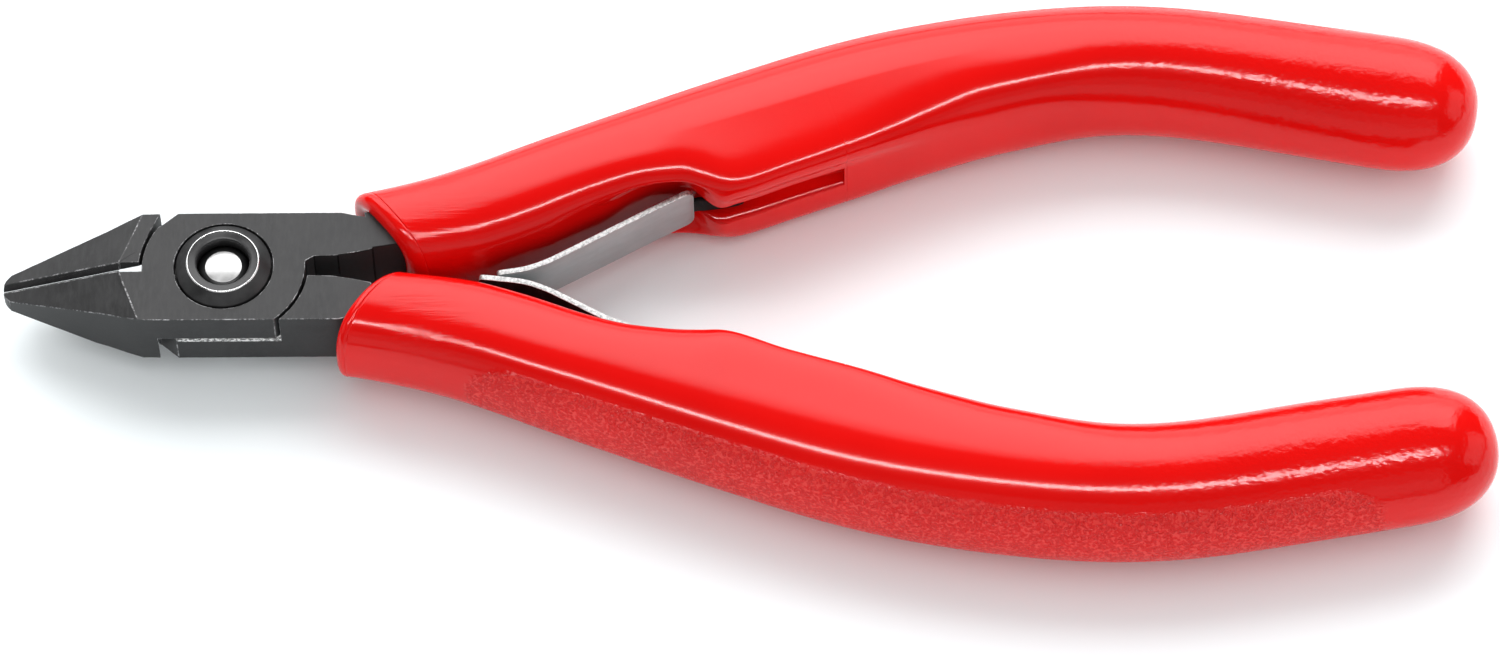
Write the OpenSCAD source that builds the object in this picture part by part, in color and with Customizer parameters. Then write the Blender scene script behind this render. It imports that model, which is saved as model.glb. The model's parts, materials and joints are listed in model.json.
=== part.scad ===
// Flush cutter: two forged halves in a lap joint, a bolt and ring nut for a pivot,
// dipped handle sleeves and a pair of leaf springs that open the jaws.
// Drawn with the jaws closed. The tool lies flat: its handles rest on z = 0.

/* [Head] */
// Thickness of the head, over both forged halves
head_t = 6.1; // [5:0.1:8]
// Width of the joint plates, flat to flat
plate_w = 10.6; // [9.6:0.1:11.4]
// Radius of the round of each joint plate
plate_r = 6.9; // [6.6:0.1:7.4]
// Clearance between the round of a plate and the other half
plate_gap = 0.25; // [0.15:0.05:0.5]
// Clearance between the two plates, over their whole lap
lap_gap = 0.04; // [0.02:0.01:0.1]

/* [Jaws] */
// Distance from the pivot to the tip of the jaws
jaw_l = 18.9; // [15:0.1:22]
// Half width of the jaws where they meet the joint plates
jaw_root_w = 5.25; // [4.8:0.05:5.6]
// Half width of the jaws at the tip
jaw_tip_w = 1.2; // [0.8:0.1:2]
// Fall of the front face, in mm for each mm towards the tip
face_fall = 0.345; // [0.2:0.005:0.4]
// Depth of the small bevel in front of the cutting edge
edge_depth = 0.4; // [0.2:0.05:0.6]
// Half angle of the large relief behind the cutting edge
relief_angle = 35; // [30:1:40]

/* [Pivot] */
// Radius of the bearing shank of the pivot bolt
shank_r = 3.2; // [2.5:0.05:3.3]
// Radial running clearance of the shank in the halves
running_gap = 0.03; // [0.01:0.01:0.1]
// Outer radius of the ring nut and of the bolt head
nut_r = 4.0; // [3.7:0.1:4.2]
// Radius of the thread between bolt and nut
thread_r = 2.2; // [1.6:0.1:2.4]
// Height of the nut's crown above the plate
nut_proud = 0.85; // [0.4:0.05:1.5]

/* [Handles] */
// Distance from the pivot to the end of the handles
handle_l = 106.5; // [95:0.5:115]
// Half thickness of a sleeve at its thickest
sleeve_h = 5.5; // [5:0.1:6.5]
// Half width of a sleeve at its widest
sleeve_w = 6.1; // [5.5:0.1:7]
// Half thickness of the tang inside the sleeve
tang_h = 2.6; // [2:0.1:3]

/* [Springs] */
// Thickness of the leaf springs
leaf_t = 0.5; // [0.3:0.05:0.7]
// Width of the leaf springs
leaf_w = 4.7; // [3.5:0.1:5.5]
// Width of the tongue that enters the sleeve's slot
tongue_w = 1.5; // [1:0.1:2]
// Clearance between the tips of the two springs
leaf_gap = 0.04; // [0.02:0.02:0.2]

/* [Hidden] */

eps = 0.01;
far = 60;
round_fn = 96;
half_t = head_t / 2;
half_w = plate_w / 2;
cavity_r = plate_r + plate_gap;

// Middle line of the upper handle in plan
HANDLE_LINE = [[9, 3.1], [14, 3.9], [20, 5.5], [30, 9.1], [45, 14.1], [58, 18.3],
               [70, 20.7], [80, 20.8], [94, 18.4], [handle_l, 16.1]];
// Half width of the sleeve on the side away from the other handle, along x
OUTER_W = [[9, 4.4], [20, 4.6], [30, 5.0], [50, sleeve_w], [70, 5.6], [84, 5.7],
           [95, 5.95], [handle_l, 6]];
// Half width on the side facing the other handle
INNER_W = [[9, 3.75], [14, 4.05], [20, 4.6], [30, 5.0], [40, 5.7], [46, 6.3], [58, 5.8], [70, 5.2],
           [84, 5.2], [handle_l, 5.6]];
// Pocket in the inner face that the spring lies in: its depth along x
POCKET = [[26, 0], [31, 0.5], [34, 1.35], [36, 1.95], [38, 2], [39.6, 0], [41.2, 0]];
// the pocket is level up to this share of the half thickness, and dies out at the second
pocket_level = 0.52;
pocket_edge = 0.82;
// The whole inner side is hollow beside the pocket, and swells where the spring's shoulder ends
SWELL = [[26, 0], [30, -0.25], [34, -0.8], [37, -0.35], [39.8, 0.6], [42, 0.4], [46, 0.05], [48, 0]];
// How square the section is towards the other handle: 2 is an ellipse
SQUARENESS = [[9, 2.6], [22, 3.2], [58, 3.6], [67, 3.2], [74, 2.4], [handle_l, 2.4]];
outer_squareness = 2.6;
// Half thickness of the sleeve
SLEEVE_H = [[9, 4.3], [20, 4.6], [32, 5.1], [50, 5.4], [62, sleeve_h], [74, 5.4],
            [90, 5.3], [handle_l, 5.2]];
// Half width of the tang inside the sleeve
TANG_W = [[9, 2.15], [12, 1.8], [16, 1.9], [24, 2.6], [34, 2.4], [50, 3.3], [75, 3.2],
          [handle_l, 2.8]];
tang_end = handle_l - 6.5;
// the joint plates end here, and the full thickness of the tang's root here
plate_end = 9.6;
collar_end = 17;
tang_fall = 0.02;

// Mouth of the sleeve: its middle, its slant, and how far back it is hollow
mouth_x = 12.9;
mouth_slant = 0.5;
mouth_depth = 5.5;
mouth_wall = 1.15;
lip_r = 0.7;

// Seat of the upper spring: its shoulder, and the slot along the sleeve for its tongue
shoulder = [39.4, 7.7];
slot_h = 1.3;
slot_to = 52.3;
SLOT_FLOOR = [[38.4, 8.6], [41.5, 9.2], [46, 10.1], [slot_to, 11.9]];
// the hook at the tongue's end, and the window that it moves in as the spring bends
hook_x = 43.6;
window_from = hook_x - 1.5;
window_l = 3.4;
window_gap = 0.25;
// clearance of the tang in its sleeve
tang_fit = 0.05;

nut_seat = half_t - 1.1;
head_seat = 1.15;

// Everything is drawn about the pivot and then laid on the table
mid_x = (handle_l - jaw_l) / 2;
module place() {
    translate([-mid_x, 0, sleeve_h]) children();
}

// ---- smooth curves through a few points ----
function slope_at(k, i) =
    i == 0 ? (k[1][1] - k[0][1]) / (k[1][0] - k[0][0])
    : i == len(k) - 1 ? (k[i][1] - k[i - 1][1]) / (k[i][0] - k[i - 1][0])
    : (k[i + 1][1] - k[i - 1][1]) / (k[i + 1][0] - k[i - 1][0]);
function piece_of(k, x, i = 0) = i >= len(k) - 2 || x <= k[i + 1][0] ? i : piece_of(k, x, i + 1);
function hermite(a, b, m0, m1, t) =
    a * (2 * t * t * t - 3 * t * t + 1) + m0 * (t * t * t - 2 * t * t + t)
    + b * (3 * t * t - 2 * t * t * t) + m1 * (t * t * t - t * t);
function smooth(k, x) =
    let (i = piece_of(k, x), d = k[i + 1][0] - k[i][0])
    hermite(k[i][1], k[i + 1][1], d * slope_at(k, i), d * slope_at(k, i + 1), (x - k[i][0]) / d);
function handle_point(x) = [x, smooth(HANDLE_LINE, x)];
function handle_dir(x) =
    let (d = handle_point(x + 0.05) - handle_point(x - 0.05)) d / norm(d);
function handle_left(x) = let (d = handle_dir(x)) [-d.y, d.x];
function beside(x, n) = handle_point(x) + n * handle_left(x);
// a hump that is zero before its first point and after its last
function hump(k, x) = x <= k[0][0] || x >= k[len(k) - 1][0] ? 0 : smooth(k, x);
function ease(t) = let (u = min(1, max(0, t))) u * u * (3 - 2 * u);
// how far the inner face is cut back at x, at a share r of the half thickness
function relief_at(x, r) =
    hump(POCKET, x) * (1 - ease((r - pocket_level) / (pocket_edge - pocket_level)))
    - hump(SWELL, x);

// ---- half spaces, for the ground faces of the jaws ----
module beyond(point, normal) {
    translate(point)
        rotate([0, acos(normal.z / norm(normal)), atan2(normal.y, normal.x)])
            translate([-far, -far, 0])
                cube([2 * far, 2 * far, far]);
}

// ---- the lower jaw, in plan and then ground to shape ----
jaw_root_x = -7.0;
crease_x = -8.8;
crease_y = -0.55;
root_block_x = -4.0;
// the jaw's side between its root and its tip
JAW_SIDE = [[-8.4, -4.75], [-10, -4.12]];
tip_blunt = 0.6;
tip_round = 1.6;
tip_y = -jaw_tip_w - 0.1;
// how far the pocket behind the edges and the plates' notch reach past the middle
notch_y = -0.45;
// how the jaw ends beside the other half's joint plate
jaw_back = [[-6.5, -3.1], [-5.5, -half_w - eps], [0, -half_w - eps], [0, -3.1]];
// the rear face thins the jaw from here towards the tip
rear_from_x = -11;
rear_fall = 0.175;
// slope of the small bevel, and where along the face its depth is measured
bevel_slope = 0.8;
edge_run = 0.35;
// fall of the front face towards its outer edge, so that its top edge is the crease
face_lean = face_fall * (jaw_root_x - crease_x) / (jaw_root_w + crease_y);
edge_z = half_t - edge_depth - face_fall * edge_run;

module jaw_plan() {
    tip_x = -jaw_l;
    difference() {
        union() {
            polygon(concat([[root_block_x, 0], [root_block_x, -half_w], [jaw_root_x, -jaw_root_w]],
                           JAW_SIDE, [[tip_x + tip_blunt, tip_y], [tip_x + tip_blunt, 0]]));
            intersection() {
                translate([tip_x + tip_round, 0]) circle(r = tip_round, $fn = round_fn);
                translate([tip_x, tip_y]) square([tip_blunt, -tip_y]);
            }
        }
        // pocket behind the cutting edges
        translate([crease_x, notch_y]) square([far, 1]);
        polygon(jaw_back);
        translate([root_block_x, -far]) square([far, 2 * far]);
    }
}

module ground_jaw() {
    difference() {
        translate([0, 0, -half_t]) linear_extrude(head_t) jaw_plan();
        // front face, falling towards the tip from the crease
        beyond([crease_x, crease_y, half_t], [-face_fall, -face_lean, 1]);
        // small bevel in front of the edge
        beyond([crease_x, -eps, edge_z], [-bevel_slope * face_fall, 1, bevel_slope]);
        // large relief behind it
        beyond([crease_x, -eps, edge_z],
               [face_fall * tan(relief_angle), 1, -tan(relief_angle)]);
        // rear face, thinner towards the tip
        beyond([rear_from_x, 0, -half_t], [-rear_fall, 0, -1]);
    }
}

// ---- joint plate and tang of the front half ----
// end of the straight outer side, beside the pivot
side_to_x = 4.4;
// inner end of the notch under the plate's round
notch_end_x = -6;
notch_base = -2;
// heel, from the pivot to the tang
HEEL = [[6.6, 0.3], [7.6, 0.95]];
heel_y = 1;
// corner cut away towards the other jaw
CORNER_CUT = [[-5.5, 4], [-9, 4], [-9, 8], [-4, 8]];
corner_cut_x = -4;
// neck between the plate and the tang
NECK_INNER = [[7.2, 0.93], [9.2, 1.0], [11, 1.3], [12.5, 1.65]];
NECK_OUTER = [[12.5, 4.8], [11.4, 4.95], [9.8, half_w], [4, half_w], [4, 0.93]];

module plate_plan() {
    difference() {
        union() {
            intersection() {
                circle(r = plate_r, $fn = round_fn);
                square([4 * plate_r, plate_w], center = true);
            }
            polygon([[jaw_root_x - 0.3, notch_y], [jaw_root_x, -jaw_root_w], [root_block_x, -half_w],
                     [side_to_x, -half_w], [0, 0]]);
            polygon([[jaw_root_x - 0.1, notch_y], [jaw_root_x - 0.1, notch_base],
                     [notch_end_x, notch_base], [notch_end_x, notch_y]]);
            polygon(concat([[0, 0]], HEEL,
                           [[plate_end, heel_y], [plate_end, half_w], [0, half_w]]));
        }
        polygon(concat([[corner_cut_x, half_w]], CORNER_CUT));
    }
}

module tang_plan(grow = 0, from_x = 9, to_x = tang_end) {
    xs = [for (i = [0:44]) from_x + (to_x - from_x) * i / 44];
    polygon(concat(
        [for (x = xs) beside(x, smooth(TANG_W, x) + grow)],
        [for (i = [len(xs) - 1:-1:0]) beside(xs[i], -smooth(TANG_W, xs[i]) - grow)]));
}

module tang_root_plan() {
    polygon(concat(NECK_INNER, NECK_OUTER));
}

// window for the hook of the spring, in the sleeve and in the tang
module hook_window(from_y, depth) {
    half_h = tongue_w / 2 + window_gap;
    translate([window_from, from_y, -half_h]) cube([window_l, depth, 2 * half_h]);
}

module plate_and_tang(recess_r, recess_depth) {
    difference() {
        union() {
            translate([0, 0, lap_gap / 2]) linear_extrude(half_t - lap_gap / 2) plate_plan();
            difference() {
                translate([0, 0, -half_t]) linear_extrude(head_t) {
                    tang_root_plan();
                    tang_plan(0, 12, collar_end);
                }
                translate([0, 0, -half_t - 1])
                    cylinder(h = half_t + 1 + lap_gap / 2, r = cavity_r, $fn = round_fn);
                // both faces fall slightly from the joint plates to the handle
                beyond([plate_end, 0, half_t], [tang_fall, 0, 1]);
                beyond([plate_end, 0, -half_t], [tang_fall, 0, -1]);
            }
            translate([0, 0, -tang_h]) linear_extrude(2 * tang_h) tang_plan(0, collar_end - 0.5);
        }
        translate([0, 0, -half_t])
            cylinder(h = head_t, r = shank_r + running_gap, $fn = round_fn);
        translate([0, 0, half_t - recess_depth])
            cylinder(h = recess_depth + 1, r = recess_r, $fn = round_fn);
        hook_window(7.5, 6.2);
    }
}

module front_half() {
    color("dimgray") place() {
        plate_and_tang(nut_r + 0.2, half_t - nut_seat);
        difference() {
            ground_jaw();
            translate([0, 0, -half_t - 1])
                cylinder(h = half_t + 1 + lap_gap / 2, r = cavity_r, $fn = round_fn);
        }
    }
}

module rear_half() {
    color("dimgray") place() {
        rotate([180, 0, 0]) plate_and_tang(nut_r + 0.1, head_seat);
        difference() {
            mirror([0, 1, 0]) ground_jaw();
            translate([0, 0, -lap_gap / 2])
                cylinder(h = half_t + 1, r = cavity_r, $fn = round_fn);
        }
    }
}

// ---- pivot ----
bolt_end_below = 0.1;
bolt_chamfer = 0.3;
thread_chamfer = 0.6;
driver_slot_w = 1;
driver_slot_depth = 0.7;
// the nut's worn rim, its dish and its chamfered mouth
rim_r = 3;
rim_fall = 0.1;
rim_outer_r = 3.15;
dish_w = 0.35;
dish_depth = 0.4;
nut_clearance = 0.05;

module pivot_bolt() {
    head_top = -half_t + head_seat;
    end_z = half_t - bolt_end_below;
    color("silver") place() {
        difference() {
            rotate_extrude($fn = round_fn) polygon([
                [0, -half_t], [nut_r - bolt_chamfer, -half_t], [nut_r, -half_t + bolt_chamfer],
                [nut_r, head_top - eps], [shank_r, head_top - eps],
                [shank_r, nut_seat - nut_clearance], [thread_r, nut_seat - nut_clearance],
                [thread_r, end_z - thread_chamfer], [thread_r - thread_chamfer, end_z], [0, end_z]]);
            // driver slot in the head
            translate([-far, -driver_slot_w / 2, -half_t - 1])
                cube([2 * far, driver_slot_w, 1 + driver_slot_depth]);
        }
    }
}

module pivot_nut() {
    crown_z = half_t + nut_proud;
    color("black") place() {
        rotate_extrude($fn = round_fn) polygon([
            [thread_r + nut_clearance, nut_seat], [nut_r, nut_seat], [nut_r, half_t + nut_clearance],
            [rim_outer_r, crown_z - rim_fall], [rim_r, crown_z],
            [thread_r + dish_w, crown_z - rim_fall], [thread_r + nut_clearance, crown_z - dish_depth]]);
    }
}

// ---- sleeves ----
sides = 32;
cap_l = 8.5;
// one point of a section: angle from the outer side, half widths and half thickness
function lobe(c, s, wide, high, p) =
    [wide * sign(c) * pow(abs(c), 2 / p), high * sign(s) * pow(abs(s), 2 / p)];
function section_point(x, a, shrink) =
    let (c = cos(a), s = sin(a),
         p = c > 0 ? outer_squareness : smooth(SQUARENESS, x),
         high = smooth(SLEEVE_H, x) - shrink,
         wide = c > 0 ? smooth(OUTER_W, x)
                : smooth(INNER_W, x) - relief_at(x, pow(abs(s), 2 / p)))
    lobe(c, s, wide - shrink, high, p);
// the slant of the mouth dies out along the sleeve
function slant_at(x) = mouth_slant * pow(max(0, (26 - x) / (26 - mouth_x)), 2);
function sleeve_ring(x, scale = 1, shrink = 0) = [
    for (i = [0:sides - 1])
        let (q = section_point(x, 360 * i / sides, shrink) * scale,
             p = beside(x, q[0]) - slant_at(x) * q[0] * handle_dir(x))
        [p.x, p.y, q[1]]];
// roundness of the closed end, along and across
cap_along = 2.6;
cap_across = 2.3;
function cap_scale(u) = pow(max(0, 1 - pow(u, cap_along)), 1 / cap_across);
function end_ring(u) =
    let (x0 = handle_l - cap_l, p0 = handle_point(x0), d = handle_dir(x0), l = handle_left(x0))
    [for (i = [0:sides - 1])
        let (q = section_point(x0, 360 * i / sides, 0) * cap_scale(u),
             p = p0 + d * cap_l * u + l * q[0])
        [p.x, p.y, q[1]]];
function closed_tube(rings) =
    let (n = len(rings), m = len(rings[0]))
    [[for (r = rings, p = r) p],
     concat([for (j = [1:m - 2]) [0, j, j + 1]],
            [for (i = [0:n - 2], j = [0:m - 1])
                [i * m + j, (i + 1) * m + (j + 1) % m, i * m + (j + 1) % m]],
            [for (i = [0:n - 2], j = [0:m - 1])
                [i * m + j, (i + 1) * m + j, (i + 1) * m + (j + 1) % m]],
            [for (j = [1:m - 2]) [(n - 1) * m, (n - 1) * m + j + 1, (n - 1) * m + j]])];

module tube_of(rings) {
    t = closed_tube(rings);
    polyhedron(points = t[0], faces = t[1], convexity = 4);
}

lip_steps = [0, 35, 65, 90];
body_xs = concat([for (x = [mouth_x + lip_r + 1:2:29]) x], [for (x = [30:1:46]) x],
                 [for (x = [48:3:handle_l - cap_l - 1]) x]);
cap_us = [0, 0.25, 0.45, 0.62, 0.76, 0.87, 0.95, 0.99];

module sleeve_solid() {
    lip = [for (a = lip_steps) sleeve_ring(mouth_x + lip_r * (1 - sin(a)), 1, lip_r * (1 - cos(a)))];
    tube_of(concat([for (i = [len(lip) - 1:-1:0]) lip[i]],
                   [for (x = body_xs) sleeve_ring(x)],
                   [for (u = cap_us) end_ring(u)]));
}

module mouth_hollow() {
    steps = [-0.6, 1.5, 3.5, mouth_depth];
    tube_of([for (s = steps) sleeve_ring(mouth_x + s, 1, mouth_wall + 0.12 * max(0, s))]);
}

// slot along the inner face for the tongue, with the hook's window
module spring_slot() {
    below = SLOT_FLOOR[0].y - 4;
    translate([0, 0, -slot_h]) linear_extrude(2 * slot_h)
        polygon(concat(SLOT_FLOOR, [[slot_to, below], [SLOT_FLOOR[0].x, below]]));
    hook_window(6.5, 6);
}

module one_sleeve() {
    difference() {
        sleeve_solid();
        mouth_hollow();
        translate([0, 0, -half_t - tang_fit]) linear_extrude(head_t + 2 * tang_fit)
            tang_plan(tang_fit, 8, collar_end + tang_fit);
        translate([0, 0, -tang_h - tang_fit]) linear_extrude(2 * (tang_h + tang_fit))
            tang_plan(tang_fit, collar_end - 1, tang_end + tang_fit);
        spring_slot();
    }
}

module upper_sleeve() {
    color("red") place() one_sleeve();
}

module lower_sleeve() {
    color("red") place() rotate([180, 0, 0]) one_sleeve();
}

// ---- leaf springs ----
// middle lines from the shoulder to the tip; the lower one is drawn as if it were the upper
UPPER_LEAF = [shoulder, [36, 5.8], [32, 3.45], [29, 1.7], [27.2, 0.7], [25.4, 0], [23, -0.42]];
LOWER_LEAF = [shoulder, [36.2, 6.7], [33.8, 5.6], [32, 4.75], [29, 3], [27.2, 2], [25.4, 1.3],
              [23.2, 0.95], [21.5, 0.75]];
// middle line of the tongue and its hook
TONGUE = [shoulder - [0.8, 0.5], shoulder, [40.2, 7.8], [hook_x - 0.6, 8.25],
          [hook_x + 0.05, 8.75], [hook_x + 0.15, 10.5]];
function turn(v) = [-v.y, v.x] / norm(v);
function side_of(p, i) =
    let (a = i == 0 ? p[1] - p[0] : p[i] - p[i - 1],
         b = i == len(p) - 1 ? p[i] - p[i - 1] : p[i + 1] - p[i],
         s = turn(a) + turn(b))
    2 * s / (s * s);
module strip(path, t) {
    polygon(concat([for (i = [0:len(path) - 1]) path[i] + side_of(path, i) * t / 2],
                   [for (i = [len(path) - 1:-1:0]) path[i] - side_of(path, i) * t / 2]));
}

module leaf(blade) {
    translate([0, leaf_gap / 2, 0]) {
        translate([0, 0, -leaf_w / 2]) linear_extrude(leaf_w) strip(blade, leaf_t);
        translate([0, 0, -tongue_w / 2]) linear_extrude(tongue_w) strip(TONGUE, leaf_t);
    }
}

module upper_leaf_spring() {
    color("lightgray") place() leaf(UPPER_LEAF);
}

module lower_leaf_spring() {
    color("lightgray") place() rotate([180, 0, 0]) leaf(LOWER_LEAF);
}

front_half();
rear_half();
pivot_bolt();
pivot_nut();
upper_sleeve();
lower_sleeve();
upper_leaf_spring();
lower_leaf_spring();
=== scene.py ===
"""The looks of the flush cutter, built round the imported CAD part.

Lengths in the shape functions are millimetres about the pivot, as in the CAD part: +X towards
the handles, +Y towards the upper handle, +Z along the pivot. at() turns them into metres in
the part's frame.
"""

import json
import math

import bmesh
import bpy
import numpy as np
from mathutils import Matrix, Vector

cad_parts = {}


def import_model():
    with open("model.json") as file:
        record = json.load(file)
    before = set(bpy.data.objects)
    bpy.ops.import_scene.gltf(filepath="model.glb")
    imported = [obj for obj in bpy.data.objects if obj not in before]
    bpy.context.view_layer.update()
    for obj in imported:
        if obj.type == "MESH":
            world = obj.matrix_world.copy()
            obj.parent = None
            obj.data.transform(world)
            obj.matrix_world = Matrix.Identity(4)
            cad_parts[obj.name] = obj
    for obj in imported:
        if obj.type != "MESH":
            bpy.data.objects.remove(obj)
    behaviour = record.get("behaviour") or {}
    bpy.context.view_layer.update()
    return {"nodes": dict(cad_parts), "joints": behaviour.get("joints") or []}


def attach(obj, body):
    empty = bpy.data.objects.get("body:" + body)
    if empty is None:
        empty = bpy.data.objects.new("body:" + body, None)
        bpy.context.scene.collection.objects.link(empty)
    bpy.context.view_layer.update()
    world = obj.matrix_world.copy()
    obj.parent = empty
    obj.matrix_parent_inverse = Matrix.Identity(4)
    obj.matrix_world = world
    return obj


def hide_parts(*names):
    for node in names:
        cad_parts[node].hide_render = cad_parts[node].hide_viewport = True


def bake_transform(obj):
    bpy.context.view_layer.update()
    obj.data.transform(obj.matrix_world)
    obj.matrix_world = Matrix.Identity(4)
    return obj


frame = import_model()

MM = 0.001
PIVOT = Vector(frame["joints"][0]["pos_m"])
NODES = frame["nodes"]


def at(x, y, z=0.0):
    """A point about the pivot, in mm, as a point of the part's frame in metres."""
    return PIVOT + Vector((x, y, z)) * MM


# ---------------------------------------------------------------- smooth curves

def smooth(knots, x):
    """Height at x of the curve through the knots (x, height), sloped as their neighbours lie."""
    k = knots
    i = 0
    while i < len(k) - 2 and x > k[i + 1][0]:
        i += 1

    def slope(j):
        a, b = max(j - 1, 0), min(j + 1, len(k) - 1)
        return (k[b][1] - k[a][1]) / (k[b][0] - k[a][0])

    d = k[i + 1][0] - k[i][0]
    t = (x - k[i][0]) / d
    return (
        k[i][1] * (2 * t**3 - 3 * t**2 + 1)
        + d * slope(i) * (t**3 - 2 * t**2 + t)
        + k[i + 1][1] * (3 * t**2 - 2 * t**3)
        + d * slope(i + 1) * (t**3 - t**2)
    )


def hump(knots, x):
    """A smooth curve that is zero outside its knots."""
    return 0.0 if x <= knots[0][0] or x >= knots[-1][0] else smooth(knots, x)


def ease(t):
    """Rises smoothly from 0 at t = 0 to 1 at t = 1, and stays level outside."""
    t = min(1.0, max(0.0, t))
    return t * t * (3 - 2 * t)


# ---------------------------------------------------------------- the handle's sections

# Knots (x, value) along the handle. Half widths and heights count from its middle line.
HANDLE_L = 106.5
HANDLE_LINE = [(9, 3.1), (14, 3.9), (20, 5.5), (30, 9.1), (45, 14.1), (58, 18.3), (70, 20.7),
               (80, 20.8), (94, 18.4), (HANDLE_L, 16.1)]
OUTER_W = [(9, 4.4), (20, 4.6), (30, 5.0), (50, 6.1), (70, 5.6), (84, 5.7), (95, 5.95),
           (HANDLE_L, 6)]
INNER_W = [(9, 3.75), (14, 4.05), (20, 4.6), (30, 5.0), (40, 5.6), (46, 5.75), (52, 5.75),
           (60, 5.65), (70, 5.2), (84, 5.4), (HANDLE_L, 6.1)]
SLEEVE_H = [(9, 4.3), (20, 4.6), (32, 5.1), (50, 5.4), (62, 5.5), (74, 5.4), (90, 5.3),
            (HANDLE_L, 5.2)]
FAT_TO, FAT_FADE = 26, 12

# Exponents of the section's outline: 2 is an ellipse, and more is squarer.
INNER_SQUARE = [(9, 2.4), (22, 3.0), (34, 3.2), (39, 4.0), (42, 7), (50, 7), (56, 4.6),
                (62, 3.4), (67, 3.2), (74, 2.4), (86, 2.1), (HANDLE_L, 2.0)]
OUTER_SQUARE = [(9, 2.6), (40, 2.6), (75, 2.15), (HANDLE_L, 2.0)]

# The inner face is cut back for the leaf spring and swells beside the cut. Levels and rises
# are shares of the half thickness.
POCKET = [(26, 0), (31, 0.5), (34, 1.35), (36, 1.95), (38, 2), (39.6, 0), (41.2, 0)]
POCKET_LEVEL, POCKET_EDGE = 0.52, 0.82
UPPER_SWELL = [(20, 0), (25, -0.25), (30, -0.7), (34, -0.95), (37, -0.5), (39.8, 0.4),
               (42, 0.5), (46, 0.15), (50, 0)]
LOWER_SWELL = [(20, 0), (25, -0.25), (30, -0.6), (33, -0.6), (36, -0.2), (39.5, 0.3),
               (42, 0.1), (46, -0.3), (54, 0), (64, 0.3), (74, 0.5), (88, 0.4), (98, 0)]

# Above the slot the upper sleeve's corner stands out, and its top falls towards that corner.
TOP_CORNER = [(37.5, 0), (40, 0.7), (43, 0.8), (55, 0.65), (62, 0)]
CORNER_LEVEL, CORNER_RISE = 0.2, 0.7
TOP_FALL = [(35, 0), (42, 0.09), (56, 0.09), (70, 0)]
FALL_LEVEL, FALL_RISE = 0.35, 0.3


def line_point(x):
    """The point of the handle's middle line at x."""
    return np.array([x, smooth(HANDLE_LINE, x)])


def line_dir(x):
    """The unit direction of the handle's middle line at x."""
    near = 0.05
    d = line_point(x + near) - line_point(x - near)
    return d / np.hypot(*d)


def relief(x, share, swell):
    """How far the inner face is cut back at x, at a share of the half thickness."""
    level = 1 - ease((share - POCKET_LEVEL) / (POCKET_EDGE - POCKET_LEVEL))
    return hump(POCKET, x) * level - hump(swell, x)


def section(x, angle, upper, fatter=0.0):
    """(offset from the middle line, height) of the section at x of the upper or lower sleeve."""
    c, s = math.cos(angle), math.sin(angle)
    p = smooth(OUTER_SQUARE if c > 0 else INNER_SQUARE, x)
    across, share = abs(c) ** (2 / p), abs(s) ** (2 / p)
    high = smooth(SLEEVE_H, x)
    if c > 0:
        wide = smooth(OUTER_W, x) + fatter * ease((FAT_TO - x) / FAT_FADE)
    else:
        wide = smooth(INNER_W, x) - relief(x, share, UPPER_SWELL if upper else LOWER_SWELL)
        if upper and s > 0:
            wide += hump(TOP_CORNER, x) * ease((share - CORNER_LEVEL) / CORNER_RISE)
            high *= 1 - hump(TOP_FALL, x) * across * ease((share - FALL_LEVEL) / FALL_RISE)
    return wide * math.copysign(across, c), high * math.copysign(share, s)


# ---------------------------------------------------------------- mesh helpers

def new_piece(name, verts, faces, materials, face_material=None):
    """A smoothly shaded mesh object from points in mm about the pivot."""
    mesh = bpy.data.meshes.new(name)
    mesh.from_pydata([at(*v) for v in verts], [], faces)
    mesh.validate()
    mesh.update()
    ob = bpy.data.objects.new(name, mesh)
    bpy.context.scene.collection.objects.link(ob)
    for m in materials:
        mesh.materials.append(m)
    if face_material is not None:
        mesh.polygons.foreach_set("material_index", face_material)
    mesh.polygons.foreach_set("use_smooth", [True] * len(mesh.polygons))
    return ob


def grid_faces(rings, around):
    """Quads between closed rings of points."""
    return [
        (i * around + j, (i + 1) * around + j,
         (i + 1) * around + (j + 1) % around, i * around + (j + 1) % around)
        for i in range(rings - 1)
        for j in range(around)
    ]


def face_outwards(ob):
    """Turns all faces of a closed mesh outwards."""
    bm = bmesh.new()
    bm.from_mesh(ob.data)
    bmesh.ops.recalc_face_normals(bm, faces=bm.faces)
    bm.to_mesh(ob.data)
    bm.free()


def point_attribute(ob, name, values):
    """Gives every vertex a value that a material can read."""
    attribute = ob.data.attributes.new(name, "FLOAT", "POINT")
    attribute.data.foreach_set("value", np.asarray(values, np.float32))


def apply_modifiers(ob):
    """Replaces the mesh by what its modifiers make of it."""
    bpy.context.view_layer.update()
    graph = bpy.context.evaluated_depsgraph_get()
    mesh = bpy.data.meshes.new_from_object(ob.evaluated_get(graph), depsgraph=graph)
    ob.modifiers.clear()
    ob.data = mesh


def lathe(name, profile, materials, spans, segments, closed=False):
    """Turns profile (radius, height) about the pivot. spans gives each stretch's material.

    A closed profile joins its last point to its first one, and an open one gets flat ends.
    """
    angles = [2 * math.pi * i / segments for i in range(segments)]
    verts = [(r * math.cos(a), r * math.sin(a), z) for r, z in profile for a in angles]
    faces = grid_faces(len(profile), segments)
    indices = [m for m in spans for _ in range(segments)]
    last = (len(profile) - 1) * segments
    if closed:
        faces += [(last + j, j, (j + 1) % segments, last + (j + 1) % segments)
                  for j in range(segments)]
        indices += [spans[-1]] * segments
    else:
        faces += [tuple(range(segments)), tuple(range(last, last + segments))]
        indices += [spans[0], spans[-1]]
    ob = new_piece(name, verts, faces, materials, indices)
    face_outwards(ob)
    return ob


# ---------------------------------------------------------------- material helpers

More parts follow.
